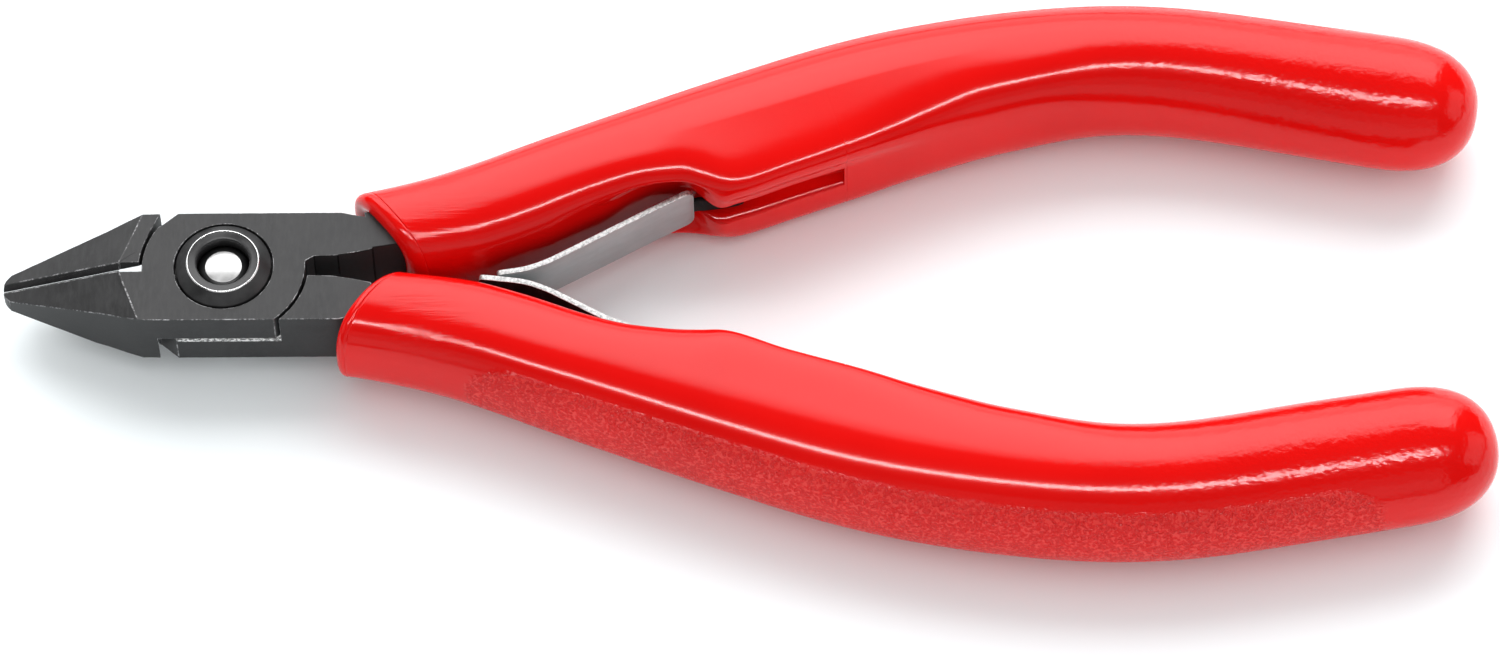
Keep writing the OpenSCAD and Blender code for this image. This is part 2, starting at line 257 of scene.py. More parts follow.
class Shader:
    """A short way to build a node material round one Principled BSDF."""

    def __init__(self, name):
        self.material = bpy.data.materials.new(name)
        self.material.use_nodes = True
        self.tree = self.material.node_tree
        self.bsdf = next(n for n in self.tree.nodes if n.type == "BSDF_PRINCIPLED")
        self.place = self.node("ShaderNodeTexCoord").outputs["Object"]

    def node(self, kind, **settings):
        n = self.tree.nodes.new(kind)
        for key, value in settings.items():
            setattr(n, key, value)
        return n

    def link(self, source, target):
        """Gives a socket a number, a colour or another node's output."""
        if isinstance(source, (int, float)):
            target.default_value = source
        elif isinstance(source, tuple):
            target.default_value = (*source, 1.0)
        else:
            self.tree.links.new(source, target)

    def set(self, **values):
        """Sets inputs of the Principled BSDF, with _ for the spaces in their names."""
        for key, value in values.items():
            self.link(value, self.bsdf.inputs[key.replace("_", " ")])

    def stretched(self, scale):
        """Object coordinates, scaled along each axis."""
        n = self.node("ShaderNodeVectorMath", operation="MULTIPLY")
        self.tree.links.new(self.place, n.inputs[0])
        n.inputs[1].default_value = scale
        return n.outputs[0]

    def noise(self, scale, detail, rough, place=None):
        n = self.node("ShaderNodeTexNoise")
        n.inputs["Scale"].default_value = scale
        n.inputs["Detail"].default_value = detail
        n.inputs["Roughness"].default_value = rough
        self.tree.links.new(place or self.place, n.inputs["Vector"])
        return n.outputs["Fac"]

    def cells(self, scale):
        """Distance to the nearest of scattered points."""
        n = self.node("ShaderNodeTexVoronoi")
        n.inputs["Scale"].default_value = scale
        self.tree.links.new(self.place, n.inputs["Vector"])
        return n.outputs["Distance"]

    def ramp(self, value, low, high, to_low=0.0, to_high=1.0):
        """Takes low to to_low and high to to_high, smoothly, and stays level outside."""
        n = self.node("ShaderNodeMapRange", clamp=True, interpolation_type="SMOOTHSTEP")
        self.link(value, n.inputs["Value"])
        n.inputs["From Min"].default_value = low
        n.inputs["From Max"].default_value = high
        n.inputs["To Min"].default_value = to_low
        n.inputs["To Max"].default_value = to_high
        return n.outputs["Result"]

    def math(self, operation, a, b, c=0.0):
        n = self.node("ShaderNodeMath", operation=operation)
        self.link(a, n.inputs[0])
        self.link(b, n.inputs[1])
        self.link(c, n.inputs[2])
        return n.outputs[0]

    def blend(self, a, share, b):
        """The share of a and the rest of b."""
        return self.math("ADD", self.math("MULTIPLY", a, share),
                         self.math("MULTIPLY", b, 1 - share))

    def mix(self, share, a, b):
        """From colour a at share 0 to colour b at share 1."""
        n = self.node("ShaderNodeMix", data_type="RGBA")
        self.link(share, n.inputs["Factor"])
        self.link(a, n.inputs["A"])
        self.link(b, n.inputs["B"])
        return n.outputs["Result"]

    def attribute(self, name):
        return self.node("ShaderNodeAttribute", attribute_name=name).outputs["Fac"]

    def bump(self, height, distance, strength, after=None):
        """A bump of a distance in mm, on top of an earlier bump if there is one."""
        n = self.node("ShaderNodeBump")
        n.inputs["Distance"].default_value = distance * MM
        n.inputs["Strength"].default_value = strength
        self.link(height, n.inputs["Height"])
        if after is not None:
            self.tree.links.new(after, n.inputs["Normal"])
        return n.outputs["Normal"]


# ---------------------------------------------------------------- materials

def steel_material():
    """Dark burnished forging, finely ground, with faint cloudy marks."""
    s = Shader("forged_steel")
    cloud = s.noise(260, 5, 0.6)
    grain = s.noise(2600, 6, 0.7, s.stretched((1.0, 0.25, 1.0)))
    fine = s.noise(9000, 3, 0.6)
    dark = s.mix(s.ramp(cloud, 0.3, 0.7), (0.020, 0.020, 0.021), (0.034, 0.034, 0.035))
    ground = s.math("MULTIPLY", s.ramp(grain, 0.35, 0.8), 0.4)
    s.set(
        Base_Color=s.mix(ground, dark, (0.070, 0.070, 0.071)),
        Metallic=0.35,
        Roughness=s.ramp(s.blend(cloud, 0.5, grain), 0.3, 0.7, 0.40, 0.56),
        Specular_IOR_Level=0.45,
        Normal=s.bump(fine, 0.01, 0.35, after=s.bump(grain, 0.012, 0.4)),
    )
    return s.material


def worn_edge_material():
    """The bevels of the forging: dark, worn through to bright steel in fine specks."""
    s = Shader("worn_edge")
    bare = s.ramp(s.blend(s.noise(700, 4, 0.65), 0.55, s.noise(4200, 4, 0.7)), 0.46, 0.60)
    s.set(
        Base_Color=s.mix(bare, (0.045, 0.045, 0.046), (0.40, 0.40, 0.41)),
        Metallic=0.35,
        Roughness=s.ramp(bare, 0.0, 1.0, 0.45, 0.38),
        Normal=s.bump(s.noise(5200, 4, 0.6), 0.01, 0.5),
    )
    return s.material


def shade_black_material():
    """Near-black, slightly rough steel that mirrors little: painted shade on the forging's sides
    (black as forged, darker still as painted shade), its tang and gap, and the springs' tongues and
    backs.
    """
    s = Shader("forged_steel_painted_shade")
    scale = s.noise(1500, 5, 0.65, s.stretched((1.0, 1.0, 0.3)))
    s.set(
        Base_Color=s.mix(s.ramp(scale, 0.35, 0.7), (0.007, 0.007, 0.0075),
                         (0.019, 0.019, 0.0195)),
        Metallic=0.1,
        Roughness=s.ramp(scale, 0.3, 0.7, 0.46, 0.6),
        Specular_IOR_Level=0.08,
        Normal=s.bump(scale, 0.02, 0.4),
    )
    return s.material


def ledge_material():
    """The ledge of the lap joint, ground bare and speckled."""
    s = Shader("ground_ledge")
    specks = s.noise(3600, 5, 0.7, s.stretched((1.0, 1.0, 1.6)))
    s.set(
        Base_Color=s.mix(s.ramp(specks, 0.42, 0.58), (0.14, 0.14, 0.14), (0.80, 0.80, 0.79)),
        Metallic=0.5,
        Roughness=s.ramp(specks, 0.3, 0.7, 0.36, 0.5),
        Normal=s.bump(specks, 0.02, 0.6),
    )
    return s.material


def nut_material():
    """Black oxide on a turned ring."""
    s = Shader("nut_steel")
    cloud = s.noise(700, 5, 0.6)
    s.set(
        Base_Color=s.mix(s.ramp(cloud, 0.3, 0.75), (0.028, 0.028, 0.029),
                         (0.050, 0.050, 0.051)),
        Metallic=0.3,
        Roughness=s.ramp(cloud, 0.3, 0.7, 0.34, 0.48),
        Normal=s.bump(s.noise(6000, 4, 0.6), 0.008, 0.4),
    )
    return s.material


def bright_material(name, tone, rough_low, rough_high, scale=(1.0, 1.0, 1.0), metal=1.0):
    """Bare steel with a fine grain, stretched by the inverse of scale."""
    s = Shader(name)
    grain = s.noise(1800, 6, 0.65, s.stretched(scale))
    shade = s.ramp(s.blend(grain, 0.6, s.noise(350, 4, 0.55)), 0.3, 0.7)
    s.set(
        Base_Color=s.mix(shade, tuple(t * 0.8 for t in tone), tone),
        Metallic=metal,
        Roughness=s.ramp(grain, 0.3, 0.7, rough_low, rough_high),
        Normal=s.bump(grain, 0.01, 0.35),
    )
    return s.material


def sheared_material():
    """Edge of the spring strip, sheared and left bright and speckled."""
    s = Shader("sheared_edge")
    specks = s.noise(3800, 5, 0.75, s.stretched((1.0, 1.0, 0.6)))
    s.set(
        Base_Color=s.mix(s.ramp(specks, 0.38, 0.6), (0.24, 0.24, 0.24), (0.58, 0.58, 0.575)),
        Metallic=1.0,
        Roughness=s.ramp(specks, 0.3, 0.7, 0.42, 0.6),
        Normal=s.bump(specks, 0.04, 0.6),
    )
    return s.material


def plastic_material():
    """Glossy dipped vinyl, with painted glints on the stipple's peaks. Its attributes: grip is
    stippled, peel uneven, scuff scratched.
    """
    s = Shader("red_plastic")
    grip, peel, scuff = s.attribute("grip"), s.attribute("peel"), s.attribute("scuff")
    leather = s.math("MULTIPLY_ADD", s.cells(2900), 0.5, s.noise(4000, 1.5, 0.5))
    stipple = s.math("MULTIPLY", s.ramp(leather, 0.45, 0.85), grip)
    # The stipple's highest peaks are painted paler red: painted glints.
    painted_glint = s.math("MULTIPLY", s.ramp(leather, 0.80, 0.92), grip)
    swirl = s.math("MULTIPLY", s.noise(2000, 2, 0.5), peel)
    scratches = s.math("MULTIPLY", s.noise(1500, 4, 0.7, s.stretched((0.07, 1.0, 1.0))), scuff)
    haze = s.noise(900, 3, 0.6)
    red = s.mix(s.ramp(s.noise(55, 3, 0.5), 0.3, 0.7), (0.68, 0.0035, 0.003),
                (0.76, 0.0045, 0.0035))
    skin = s.bump(swirl, 0.035, 1.0, after=s.bump(scratches, 0.04, 1.0))
    s.set(
        Base_Color=s.mix(s.math("MULTIPLY", painted_glint, 0.25), red, (0.95, 0.12, 0.10)),
        Roughness=s.ramp(s.math("MULTIPLY_ADD", haze, 0.15, grip), 0.0, 1.1, 0.13, 0.26),
        Specular_IOR_Level=0.27,
        Normal=s.bump(stipple, 0.11, 1.0, after=skin),
    )
    return s.material


STEEL = steel_material()
WORN = worn_edge_material()
SHADE_BLACK = shade_black_material()
LEDGE = ledge_material()
NUT = nut_material()
RING = bright_material("worn_ring", (0.86, 0.86, 0.86), 0.22, 0.36)
BOLT = bright_material("bolt_steel", (0.62, 0.62, 0.62), 0.32, 0.38)
STRIP = bright_material("spring_steel", (0.41, 0.445, 0.45), 0.30, 0.44, (0.2, 0.2, 1.0), 0.4)
SHEARED = sheared_material()
PLASTIC = plastic_material()


# ---------------------------------------------------------------- forged halves

BEVEL, LEDGE_BEVEL = 0.065 * MM, 0.42 * MM
WELD = 0.03 * MM
FLAT = math.radians(0.6)
SHARP = math.radians(20)
STEEP = 0.5
LENGTHWISE = 0.99
GAP_FROM, GAP_HALF = 6.3, 4
TANG_FROM = 14.0
LEDGE_ENDS, LEDGE_Y = (-4.5, 5.8), -4.5
LEDGE_EDGE_Z, LEDGE_FACE_Z = 0.2, 0.5
ON_TOP, ON_EDGE, ON_SHADE, ON_LEDGE = range(4)


def at_ledge(point, reach):
    """Whether a point in mm about the pivot is within reach of the height of the lap's ledge."""
    return (abs(point.z) < reach and point.y < LEDGE_Y
            and LEDGE_ENDS[0] < point.x < LEDGE_ENDS[1])


def edge_weight(edge, has_ledge):
    """Share of the ledge's bevel that an edge of the forging gets."""
    if edge.calc_face_angle(0.0) < SHARP:
        return 0.0
    a, b = (v.co - PIVOT for v in edge.verts)
    is_lengthwise = abs((b - a).normalized().x) > LENGTHWISE
    is_ledge = has_ledge and is_lengthwise and at_ledge((a + b) / 2 / MM, LEDGE_EDGE_Z)
    return 1.0 if is_ledge else BEVEL / LEDGE_BEVEL


def forged_half(node, name, has_ledge):
    """The CAD solid of one half, with small worn bevels on its edges."""
    ob = bpy.data.objects.new(name, NODES[node].data.copy())
    bpy.context.scene.collection.objects.link(ob)
    bm = bmesh.new()
    bm.from_mesh(ob.data)
    bmesh.ops.remove_doubles(bm, verts=bm.verts, dist=WELD)
    bmesh.ops.dissolve_limit(bm, angle_limit=FLAT, verts=bm.verts, edges=bm.edges)
    weight = bm.edges.layers.float.new("bevel_weight_edge")
    for edge in bm.edges:
        edge[weight] = edge_weight(edge, has_ledge)
    for face in bm.faces:
        face.smooth = True
        # Steep faces and the whole tang take the near-black steel: painted shade on the sides,
        # which face away from the lights, and on the tang, which lies in the sleeves and the gap.
        is_tang = (face.calc_center_median() - PIVOT).x > TANG_FROM * MM
        face.material_index = ON_SHADE if is_tang or abs(face.normal.z) < STEEP else ON_TOP
    bm.to_mesh(ob.data)
    bm.free()
    ob.data.materials.clear()
    for m in (STEEL, WORN, SHADE_BLACK, LEDGE):
        ob.data.materials.append(m)
    if "custom_normal" in ob.data.attributes:
        ob.data.attributes.remove(ob.data.attributes["custom_normal"])
    bevel = ob.modifiers.new("bevel", "BEVEL")
    bevel.width = LEDGE_BEVEL
    bevel.segments = 2
    bevel.limit_method = "WEIGHT"
    bevel.material = ON_EDGE
    bevel.harden_normals = True
    bevel.use_clamp_overlap = False
    apply_modifiers(ob)
    # Bevels on the tang and on the walls of the gap between the tangs take the near-black steel
    # too: painted shade between the parts.
    for face in ob.data.polygons:
        if face.material_index != ON_EDGE:
            continue
        middle = (face.center - PIVOT) / MM
        in_gap = middle.x > GAP_FROM and abs(middle.y) < GAP_HALF and abs(face.normal.z) < STEEP
        if in_gap or middle.x > TANG_FROM:
            face.material_index = ON_SHADE
        elif has_ledge and at_ledge(middle, LEDGE_FACE_Z):
            face.material_index = ON_LEDGE
    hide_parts(node)
    return ob


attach(forged_half("front_half", "front_half_forging", False), "front_side")
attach(forged_half("rear_half", "rear_half_forging", True), "rear_side")


# ---------------------------------------------------------------- pivot

HALF_T = 3.05
NUT_SEAT = HALF_T - 1.1
NUT_R, NUT_BORE = 4.0, 2.24
CROWN_Z = HALF_T + 0.85
RIM_R, RIM_SOFT = 3.0, 0.06
# (radius, depth below the crown) of the nut's dished face
DISH = [(2.93, 0.045), (2.9, 0.06), (2.55, 0.1), (2.35, 0.14), (2.28, 0.19), (NUT_BORE, 0.28)]

HEAD_R, HEAD_SEAT = 4.0, -1.91
SHANK_R, THREAD_R = 3.2, 2.2
BOLT_END = HALF_T - 0.1
BORE_R = 0.05
# (radius, depth below the bolt's end) of its turned grooves and chamfer
TURNING = [(THREAD_R, 0.42), (2.06, 0.37), (2.16, 0.31), (2.02, 0.25), (2.08, 0.19),
           (1.62, 0.07), (1.57, 0.02)]
DRIVER_SLOT = (20.0, 1.0, 1.4)


def arc(cx, cz, r, start, stop, steps):
    """Points of an arc of a profile, angles in degrees from the radius direction."""
    angles = [math.radians(start + (stop - start) * i / steps) for i in range(steps + 1)]
    return [(cx + r * math.cos(a), cz + r * math.sin(a)) for a in angles]


def ring_nut():
    """Round nut: black flank, worn bright rim, dished face round the bolt's end."""
    flank = [(NUT_BORE, NUT_SEAT), (NUT_R, NUT_SEAT), (NUT_R, HALF_T),
             (NUT_R - 0.03, HALF_T + 0.05), (RIM_R + 0.1, CROWN_Z - 0.09)]
    rim = arc(RIM_R, CROWN_Z - RIM_SOFT, RIM_SOFT, 30, 120, 5)
    dish = [(r, CROWN_Z - depth) for r, depth in DISH]
    black, bright = 0, 1
    spans = [black] * (len(flank) - 1) + [bright] * len(rim) + [black] * len(dish)
    ob = lathe("ring_nut", flank + rim + dish, [NUT, RING], spans, 160, closed=True)
    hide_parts("pivot_nut")
    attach(ob, "front_side")


def cut_driver_slot(ob):
    """Cuts the slot for a driver into the bolt's head."""
    cutter = bpy.data.objects.new("slot_cutter", bpy.data.meshes.new("slot_cutter"))
    size = Matrix.Diagonal((*(side * MM for side in DRIVER_SLOT), 1))
    bm = bmesh.new()
    bmesh.ops.create_cube(bm, size=1.0, matrix=Matrix.Translation(at(0, 0, -HALF_T)) @ size)
    bm.to_mesh(cutter.data)
    bm.free()
    bpy.context.scene.collection.objects.link(cutter)
    cut = ob.modifiers.new("driver_slot", "BOOLEAN")
    cut.operation = "DIFFERENCE"
    cut.object = cutter
    cut.solver = "EXACT"
    apply_modifiers(ob)
    bpy.data.objects.remove(cutter)


def bolt():
    """Pivot bolt, seen through the nut as a bright ground end in a dark bore; the dark is painted
    shade, the black nut steel on the bolt's shank and grooves.
    """
    head = [(BORE_R, -HALF_T), (HEAD_R - 0.3, -HALF_T), (HEAD_R - 0.08, -HALF_T + 0.08),
            (HEAD_R, -HALF_T + 0.3), (HEAD_R, HEAD_SEAT), (SHANK_R, HEAD_SEAT)]
    shank = [(SHANK_R, NUT_SEAT - 0.05), (THREAD_R, NUT_SEAT - 0.05)]
    shank += [(r, BOLT_END - depth) for r, depth in TURNING]
    profile = head + shank + [(1.53, BOLT_END), (BORE_R, BOLT_END)]
    bright, dark = 0, 1
    # The shank and grooves down in the nut's bore take the black nut steel: painted shade in the
    # bore.
    spans = [bright] * (len(head) - 1) + [dark] * (len(shank) + 1) + [bright]
    ob = lathe("pivot_bolt_turned", profile, [BOLT, NUT], spans, 96)
    cut_driver_slot(ob)
    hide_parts("pivot_bolt")
    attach(ob, "front_side")


ring_nut()
bolt()


# ---------------------------------------------------------------- sleeves

WALL, WALL_TAPER = 2.0, 0.06
INSIDE_DEPTHS = (5.5, 4.0, 2.8, 2.0, 1.5, 1.25)
LIP_STEPS = 12
SLANT_TO = 30
BELLY_AT, BELLY_HALF = 0.3, 4.1
GROOVE_BEHIND, GROOVE_DEEP, GROOVE_HALF = 0.12, 0.05, 0.06
SEAM_X, SEAM_DEEP, SEAM_HALF = 50.6, 0.05, 0.05
SLOT_FLOOR = [(38.4, 8.6), (41.5, 9.2), (46, 10.1), (52.3, 11.9)]
SLOT_HALF_H, SLOT_EDGE = 1.3, 0.16
SLOT_HEIGHTS = [0.0, 0.35, 0.7, 0.95, 1.08, 1.16, 1.23, SLOT_HALF_H, 1.38, 1.5, 1.75, 2.1]
OUTER_STEPS, TOP_STEPS = 23, 32
CAP_L, CAP_RINGS = 8.5, 16
CAP_SPACING, CAP_BULGE, CAP_ROUND = 1.7, 2.6, 2.3
GRIP_FROM, GRIP_TO, GRIP_REACH = 22.5, 96.0, 44
GRIP_END, GRIP_FADE = 4.5, 0.07
PEEL_FROM, PEEL_RISE, PEEL_LEAST = 60, 34, 0.06
SCUFF_FROM, SCUFF_RISE, SCUFF_TO, SCUFF_FALL, SCUFF_LEAST = 13, 2, 25, 8, 0.08


def ring_angles(x):
    """Angles round the section at x, the same count everywhere, close at the slot's edges."""
    p = smooth(INNER_SQUARE, x)
    high = smooth(SLEEVE_H, x)
    near = [math.pi - math.asin((z / high) ** (p / 2)) for z in SLOT_HEIGHTS]
    low = math.atan(math.tan(math.pi - near[-1]) ** (2 / p))
    top = [math.pi - math.atan2(math.sin(t) ** (p / 2), math.cos(t) ** (p / 2))
           for t in np.linspace(math.pi / 2, low, TOP_STEPS)[1:-1]]
    half = list(np.linspace(0, math.pi / 2, OUTER_STEPS)) + top + near[::-1]
    return half + [2 * math.pi - a for a in half[-2:0:-1]]


def ring_places(start):
    """x of the rings behind the lip, close together at the groove, the pocket and the seam."""
    return np.concatenate([
        np.arange(start + 0.02, start + 0.3, 0.03),
        np.arange(start + 0.4, 38, 0.4),
        np.arange(38, 41, 0.15),
        np.arange(41, 50.2, 0.4),
        np.arange(50.3, 51, 0.05),
        np.arange(51.2, HANDLE_L - CAP_L, 0.8),
    ])


def grip_share(x, angle):
    """1 on the stippled grip of the outer side, 0 elsewhere, with rounded ends."""
    a = min(angle, 2 * math.pi - angle)
    end = min(x - GRIP_FROM, GRIP_TO - x)
    if end <= 0:
        return 0.0
    rounded = math.sqrt(min(1.0, 1 - (1 - min(1.0, end / GRIP_END)) ** 2))
    return ease((math.radians(GRIP_REACH) * rounded - a) / GRIP_FADE + 0.5)


def slotted(p):
    """Pushes a point of the inner face in to the floor of the slot."""
    x, y, z = p
    end = SLOT_FLOOR[-1][0]
    if not SLOT_FLOOR[0][0] < x < end or abs(z) > SLOT_HALF_H:
        return p
    floor = np.interp(x, [k[0] for k in SLOT_FLOOR], [k[1] for k in SLOT_FLOOR])
    share = ease((SLOT_HALF_H - abs(z)) / SLOT_EDGE) * ease((end - x) / SLOT_EDGE)
    return [x, max(y, y + (floor - y) * share), z]


class Sleeve:
    """One dipped sleeve, drawn as the upper one and turned over for the lower one."""

    def __init__(self, rim, fatter, upper):
        self.rim_at, self.slant, self.belly = rim
        self.fatter, self.upper = fatter, upper

    def rim(self, q):
        """x of the mouth's rim, for an offset q from the middle line."""
        bulge = 1 - ((q - BELLY_AT) / BELLY_HALF) ** 2
        return self.rim_at - self.slant * q - self.belly * bulge

    def point(self, x, angle, shrink):
        """A point of the skin; the slant of the mouth dies out behind it."""
        q, h = section(x, angle, self.upper, self.fatter)
        share = 1 - shrink / math.hypot(q, h)
        q, h = q * share, h * share
        d = line_dir(x)
        fade = max(0.0, (SLANT_TO - x) / (SLANT_TO - self.rim_at)) ** 2
        if q < 0:
            q += SEAM_DEEP * math.exp(-((x - SEAM_X) / SEAM_HALF) ** 2)
        p = line_point(x) + q * np.array([-d[1], d[0]]) + (self.rim(q) - self.rim_at) * fade * d
        return [p[0], p[1], h]

    def open_end(self, lip):
        """Rings of the mouth, from inside it round its lip."""
        def ring(x, shrink):
            return [self.point(x, a, shrink) for a in ring_angles(x)]

        rings = [ring(self.rim_at + depth, WALL + WALL_TAPER * depth) for depth in INSIDE_DEPTHS]
        for turn in range(LIP_STEPS + 1):
            t = math.pi * turn / LIP_STEPS
            x = self.rim_at + lip * (1 - math.sin(t))
            rings.append(ring(x, WALL / 2 * (1 + math.cos(t))))
        return rings

    def body(self, start):
        """Rings of the skin behind the lip, and the share of grip at each point."""
        rings, grips = [], []
        for x in ring_places(start):
            groove = math.exp(-((x - start - GROOVE_BEHIND) / GROOVE_HALF) ** 2)
            angles = ring_angles(x)
            rings.append([slotted(self.point(x, a, GROOVE_DEEP * groove)) for a in angles])
            grips.append([grip_share(x, a) for a in angles])
        return rings, grips

    def cap(self):
        """Rings of the closed end with their shares of grip, and its last point."""
        x0 = HANDLE_L - CAP_L
        p0, d = line_point(x0), line_dir(x0)
        left = np.array([-d[1], d[0]])
        angles = ring_angles(x0)
        rings, grips = [], []
        for i in range(CAP_RINGS):
            u = 1 - (1 - i / CAP_RINGS) ** CAP_SPACING
            scale = max(0.0, 1 - u**CAP_BULGE) ** (1 / CAP_ROUND)
            ring = []
            for q, h in (section(x0, a, self.upper) for a in angles):
                p = p0 + d * CAP_L * u + left * q * scale
                ring.append([p[0], p[1], h * scale])
            rings.append(ring)
            grips.append([grip_share(x0 + CAP_L * u, a) for a in angles])
        return rings, grips, list(p0 + d * CAP_L) + [0.0]


def sleeve_mesh(name, rim, lip, fatter, side):
    """The mesh of a sleeve, on side 1 or turned over on side -1.

    rim is (x of the mouth, its slant, how far its middle stands forward).
    """
    sleeve = Sleeve(rim, fatter, side > 0)
    mouth_rings = sleeve.open_end(lip)
    body_rings, body_grips = sleeve.body(sleeve.rim_at + lip)
    cap_rings, cap_grips, tip = sleeve.cap()
    rings = mouth_rings + body_rings + cap_rings
    grips = [[0.0] * len(ring) for ring in mouth_rings] + body_grips + cap_grips
    n, m = len(rings), len(rings[0])
    faces = grid_faces(n, m)
    faces += [((n - 1) * m + j, n * m, (n - 1) * m + (j + 1) % m) for j in range(m)]
    faces.append(tuple(range(m)))
    verts = [p for ring in rings for p in ring] + [tip]
    ob = new_piece(name, [[x, side * y, side * z] for x, y, z in verts], faces, [PLASTIC])
    face_outwards(ob)
    point_attribute(ob, "grip", [g for ring in grips for g in ring] + [0.0])
    point_attribute(ob, "peel", [PEEL_LEAST + ease((x - PEEL_FROM) / PEEL_RISE)
                                 for x, _, _ in verts])
    point_attribute(ob, "scuff", [
        SCUFF_LEAST + ease((x - SCUFF_FROM) / SCUFF_RISE) * ease((SCUFF_TO - x) / SCUFF_FALL)
        for x, _, _ in verts
    ])
    return ob


upper = sleeve_mesh("upper_sleeve_dipped", rim=(13.3, 0.52, 0.0), lip=1.1, fatter=0.0, side=1)
lower = sleeve_mesh("lower_sleeve_dipped", rim=(12.3, 0.5, 0.75), lip=0.75, fatter=0.3, side=-1)
for ob, node, body in ((upper, "upper_sleeve", "front_side"), (lower, "lower_sleeve", "rear_side")):
    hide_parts(node)
    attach(ob, body)


# ---------------------------------------------------------------- leaf springs

SHOULDER = (39.4, 7.7)
HOOK_X = 43.6
UPPER_LEAF = [SHOULDER, (36, 5.8), (32, 3.45), (29, 1.7), (27.2, 0.7), (25.4, 0.0),
              (23.0, -0.42)]
LOWER_LEAF = [SHOULDER, (36.2, 6.7), (33.8, 5.6), (32, 4.75), (29, 3.0), (27.2, 2.0),
              (25.4, 1.3), (23.2, 0.95), (21.5, 0.75)]
TONGUE = [(40.2, 7.8), (HOOK_X - 0.6, 8.25), (HOOK_X + 0.05, 8.75), (HOOK_X + 0.15, 10.5)]
LEAF_T, LEAF_W, TONGUE_W = 0.5, 4.7, 1.5
LEAF_LIFT = 0.02
LEAF_STEP = 0.3
SHOULDER_STEPS = np.array([-0.02, 0.0, 0.06, 0.16, 0.3, 0.5, 0.75])
TIP_STEPS = np.array([0.3, 0.15, 0.06, 0.0])
SHOULDER_R, TIP_R, EDGE_R = 0.75, 0.3, 0.06
ON_FACE, ON_SHEARED, ON_BACK_SHADE = range(3)


def rounded_path(points, step):
    """Points close together along the smooth curve through a few points."""
    pts = [np.array(p, float) for p in points]
    out = []
    for i in range(len(pts) - 1):
        a = pts[max(i - 1, 0)]
        b, c = pts[i], pts[i + 1]
        d = pts[min(i + 2, len(pts) - 1)]
        n = max(2, int(np.hypot(*(c - b)) / step))
        for k in range(n):
            t = k / n
            out.append(0.5 * ((2 * b) + (c - a) * t + (2 * a - 5 * b + 4 * c - d) * t**2
                              + (3 * b - a - 3 * c + d) * t**3))
    out.append(pts[-1])
    return np.array(out)


def half_width(s, start, end):
    """Half width of the strip at s, with its shoulder at start and its tip at end."""
    def rounded(radius, depth):
        return LEAF_W / 2 - radius * (1 - math.sqrt(max(0.0, 1 - (1 - depth / radius) ** 2)))

    if s < start:
        return TONGUE_W / 2
    if s < start + SHOULDER_R:
        return rounded(SHOULDER_R, s - start)
    if s > end - TIP_R:
        return rounded(TIP_R, end - s)
    return LEAF_W / 2


def leaf_stations(blade):
    """(point, left, half width, on the tongue) at places along the strip, from hook to tip."""
    path = rounded_path(list(reversed(TONGUE)) + list(blade), LEAF_STEP)
    gone = np.concatenate([[0], np.cumsum(np.hypot(*np.diff(path, axis=0).T))])
    start = gone[np.argmin(np.hypot(*(path - np.array(SHOULDER)).T))]
    end = gone[-1]

    def on_path(s):
        return np.array([np.interp(s, gone, path[:, 0]), np.interp(s, gone, path[:, 1])])

    stations = []
    for s in np.concatenate([
        np.arange(0, start - 0.05, LEAF_STEP),
        start + SHOULDER_STEPS,
        np.arange(start + 1.0, end - 0.4, LEAF_STEP),
        end - TIP_STEPS,
    ]):
        step = on_path(s + LEAF_STEP / 2) - on_path(s - LEAF_STEP / 2)
        d = step / np.hypot(*step)
        stations.append((on_path(s), np.array([-d[1], d[0]]), half_width(s, start, end), s < start))
    return stations


def strip_outline():
    """(offset across the thickness, side, inset from the edge) round the strip's section."""
    outline = []
    for sy, sz in ((1, 1), (-1, 1), (-1, -1), (1, -1)):
        points = [(sy * (LEAF_T / 2 - EDGE_R), sz, 0.0),
                  (sy * (LEAF_T / 2 - 0.3 * EDGE_R), sz, 0.3 * EDGE_R),
                  (sy * LEAF_T / 2, sz, EDGE_R)]
        outline += points if sy * sz < 0 else points[::-1]
    return outline


def leaf_mesh(name, blade, side):
    """A strip of spring steel: blade, shoulder, narrow tongue and hook, with soft edges."""
    stations, outline = leaf_stations(blade), strip_outline()
    verts, looks = [], []
    for p, left, half, _ in stations:
        for off, sz, inset in outline:
            q = p + left * off
            verts.append([q[0], side * (q[1] + LEAF_LIFT), side * sz * (half - inset)])
    n, m = len(stations), len(outline)
    faces = grid_faces(n, m) + [tuple(range(m)), tuple((n - 1) * m + j for j in range(m))]
    for _, _, _, is_tongue in stations[:-1]:
        for a, b in zip(outline, outline[1:] + outline[:1]):
            is_back = a[1] != b[1] and a[0] < 0
            is_edge = a[1] == b[1] and not a[2] == b[2] == EDGE_R
            # The tongue in the slot and the strip's back, towards its sleeve, take the near-black
            # steel: painted shade.
            looks.append(ON_BACK_SHADE if is_tongue or is_back else ON_SHEARED if is_edge else ON_FACE)
    looks += [ON_SHEARED, ON_SHEARED]
    ob = new_piece(name, verts, faces, [STRIP, SHEARED, SHADE_BLACK], looks)
    face_outwards(ob)
    return ob


for name, blade, side, node, handle, body in (
    ("upper_leaf_strip", UPPER_LEAF, 1, "upper_leaf_spring", "front_side", "upper_leaf"),
    ("lower_leaf_strip", LOWER_LEAF, -1, "lower_leaf_spring", "rear_side", "lower_leaf"),
):
    leaf = leaf_mesh(name, blade, side)
    leaf.data.set_sharp_from_angle(angle=math.radians(40))
    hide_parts(node)
    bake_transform(leaf)


# ---------------------------------------------------------------- camera, light and floor

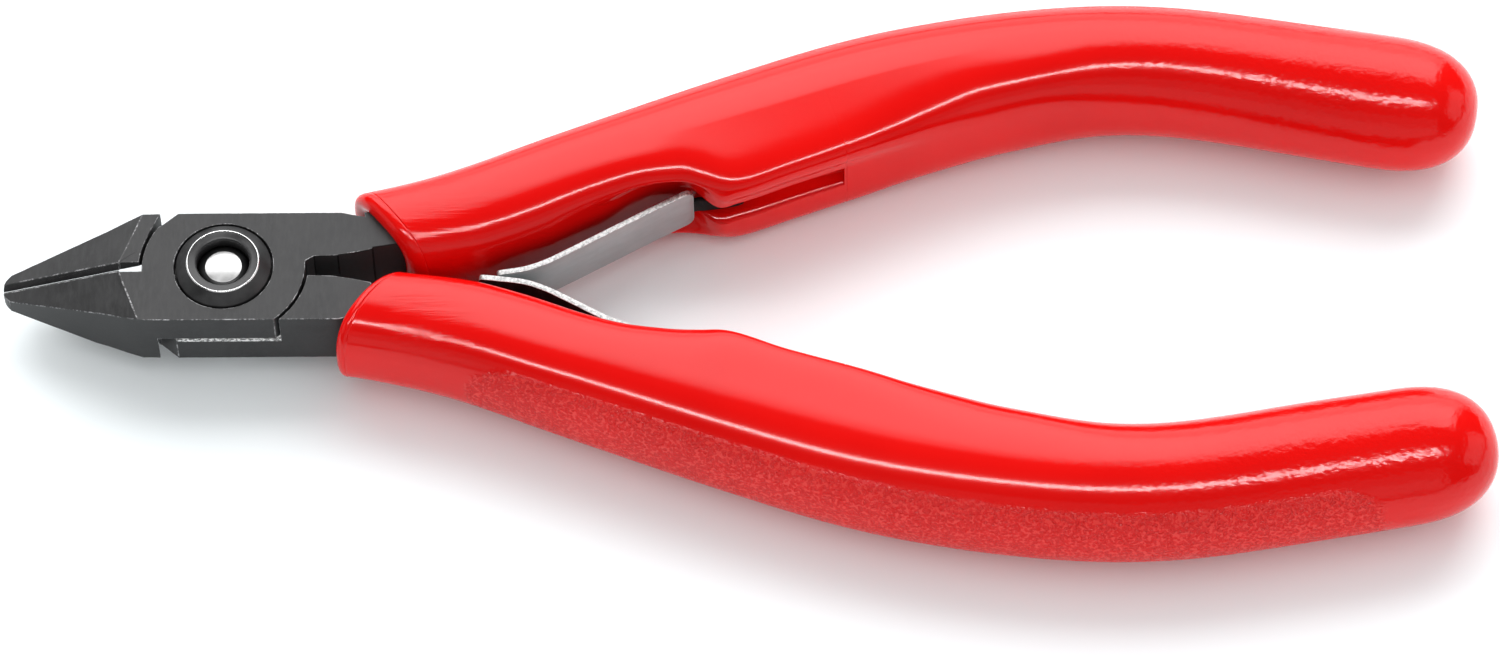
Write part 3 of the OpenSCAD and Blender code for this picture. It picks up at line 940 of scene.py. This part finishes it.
def camera():
    """Long lens from in front and above, turned slightly."""
    elevation, azimuth, roll = math.radians(58.32), math.radians(1.37), math.radians(-1.55)
    distance = 636.9 * MM
    target = at(44.27, -5.13)
    back = Vector((math.sin(azimuth) * math.cos(elevation),
                   -math.cos(azimuth) * math.cos(elevation),
                   math.sin(elevation)))
    level = Vector((math.cos(azimuth), math.sin(azimuth), 0))
    up = back.cross(level)
    right = level * math.cos(roll) + up * math.sin(roll)
    top = -level * math.sin(roll) + up * math.cos(roll)
    data = bpy.data.cameras.new("camera")
    data.lens = 181.9
    data.sensor_width = 36
    data.sensor_fit = "HORIZONTAL"
    data.clip_start, data.clip_end = 0.01, 10
    ob = bpy.data.objects.new("camera", data)
    bpy.context.scene.collection.objects.link(ob)
    turn = Matrix((right, top, back)).transposed()
    ob.matrix_world = Matrix.Translation(target + back * distance) @ turn.to_4x4()
    bpy.context.scene.camera = ob


LEVEL = 0.8
LIGHT_FAR = 1.2
WATTS = 4


def softbox(name, low, high, toward, radiance, width, glints_only=False):
    """An area light that looks at the middle of the tool.

    It spans low to high degrees from straight up, on the side toward, where 90 degrees is behind
    the tool (+Y) and -90 in front of it.
    """
    a, b = math.radians((low + high) / 2), math.radians(toward)
    direction = Vector((math.sin(a) * math.cos(b), math.sin(a) * math.sin(b), math.cos(a)))
    height = 2 * LIGHT_FAR * math.tan(math.radians((high - low) / 2))
    data = bpy.data.lights.new(name, "AREA")
    data.shape = "RECTANGLE"
    data.size, data.size_y = width, height
    data.energy = LEVEL * radiance * WATTS * width * height
    ob = bpy.data.objects.new(name, data)
    ob.visible_diffuse = not glints_only
    bpy.context.scene.collection.objects.link(ob)
    side = Vector((-math.sin(b), math.cos(b), 0))
    turn = Matrix((side, direction.cross(side), direction)).transposed()
    ob.matrix_world = Matrix.Translation(direction * LIGHT_FAR) @ turn.to_4x4()
    return ob


def shines_on(light, piece):
    """Keeps a light to one piece."""
    only = bpy.data.collections.new(light.name + "_on")
    only.objects.link(piece)
    light.light_linking.receiver_collection = only


def floor():
    """A white surface that the tool lies on."""
    size = 3.0
    corners = [(-size, -size, 0), (size, -size, 0), (size, size, 0), (-size, size, 0)]
    mesh = bpy.data.meshes.new("floor")
    mesh.from_pydata(corners, [], [(0, 1, 2, 3)])
    ob = bpy.data.objects.new("floor", mesh)
    bpy.context.scene.collection.objects.link(ob)
    s = Shader("floor_white")
    s.set(Base_Color=s.mix(s.noise(6, 2, 0.5), (0.885, 0.935, 0.95), (0.895, 0.945, 0.96)),
          Roughness=0.9, Specular_IOR_Level=0.0)
    mesh.materials.append(s.material)
    return ob


def world(level):
    """An even grey light from all round, which no surface mirrors."""
    w = bpy.data.worlds.new("world")
    w.use_nodes = True
    w.node_tree.nodes["Background"].inputs[0].default_value = (level, level, level, 1)
    bpy.context.scene.world = w
    w.cycles_visibility.glossy = False


camera()
ground = floor()
world(0.5)
for name, low, high, radiance in (
    ("box_edge", 24, 28, 2.0),
    ("box_soft", 28, 33, 4.0),
    ("box", 33, 55, 4.3),
    ("box_far", 55, 66, 3.6),
    ("wall", 66, 86, 2.0),
):
    softbox(name, low, high, 90, radiance, 1.6)
softbox("strip", 13, 17.5, -90, 34, 1.5, glints_only=True)
shines_on(softbox("floor_fill", -38, 38, 90, 0.55, 1.6), ground)
softbox("front", 60, 84, -90, 0.75, 1.8)
softbox("front_soft", 42, 60, -90, 0.35, 1.8)
softbox("left", 55, 84, 180, 0.6, 0.9)
softbox("right", 55, 84, 0, 1.2, 0.9)
bpy.context.scene.view_settings.view_transform = "Standard"
